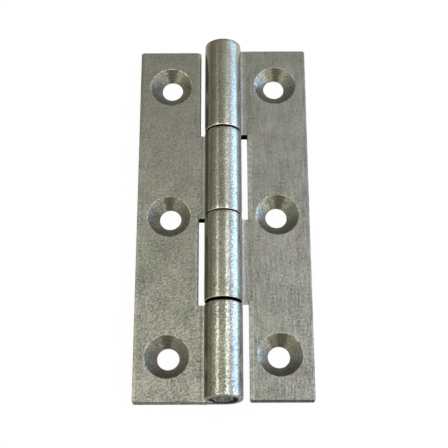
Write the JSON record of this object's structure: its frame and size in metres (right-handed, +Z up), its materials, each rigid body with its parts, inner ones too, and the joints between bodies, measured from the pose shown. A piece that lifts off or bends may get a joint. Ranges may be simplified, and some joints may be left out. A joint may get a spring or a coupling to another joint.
{
  "type": "fixed pin hinge",
  "caption": "Steel butt hinge: flat countersunk leaves rolled into interleaved knuckles round a riveted pin that can't be drawn; folds back past flat and closes on itself.",
  "frame": {"origin": "middle of the length, under the pin axis, in the plane of the leaf backs", "axes": "+Y along the pin, +X across the open leaves to the turning leaf, +Z up out of the countersunk faces"},
  "size_m": [0.0346, 0.0764, 0.0075],
  "materials": {
    "leaf_steel": "self-colour, fine tumbled grain",
    "pin_steel": "dull, hammered ends"
  },
  "bodies": {
    "fixed_leaf": {"leaf_left": "leaf_steel", "pin": "pin_steel"},
    "turning_leaf": {"leaf_right": "leaf_steel"}
  },
  "joints": [
    {"name": "leaf_turn", "type": "hinge", "parent": "fixed_leaf", "child": "turning_leaf", "pos_m": [0, 0, 0.00375], "axis": [0, -1, 0], "range_deg": [-96, 189]}
  ]
}
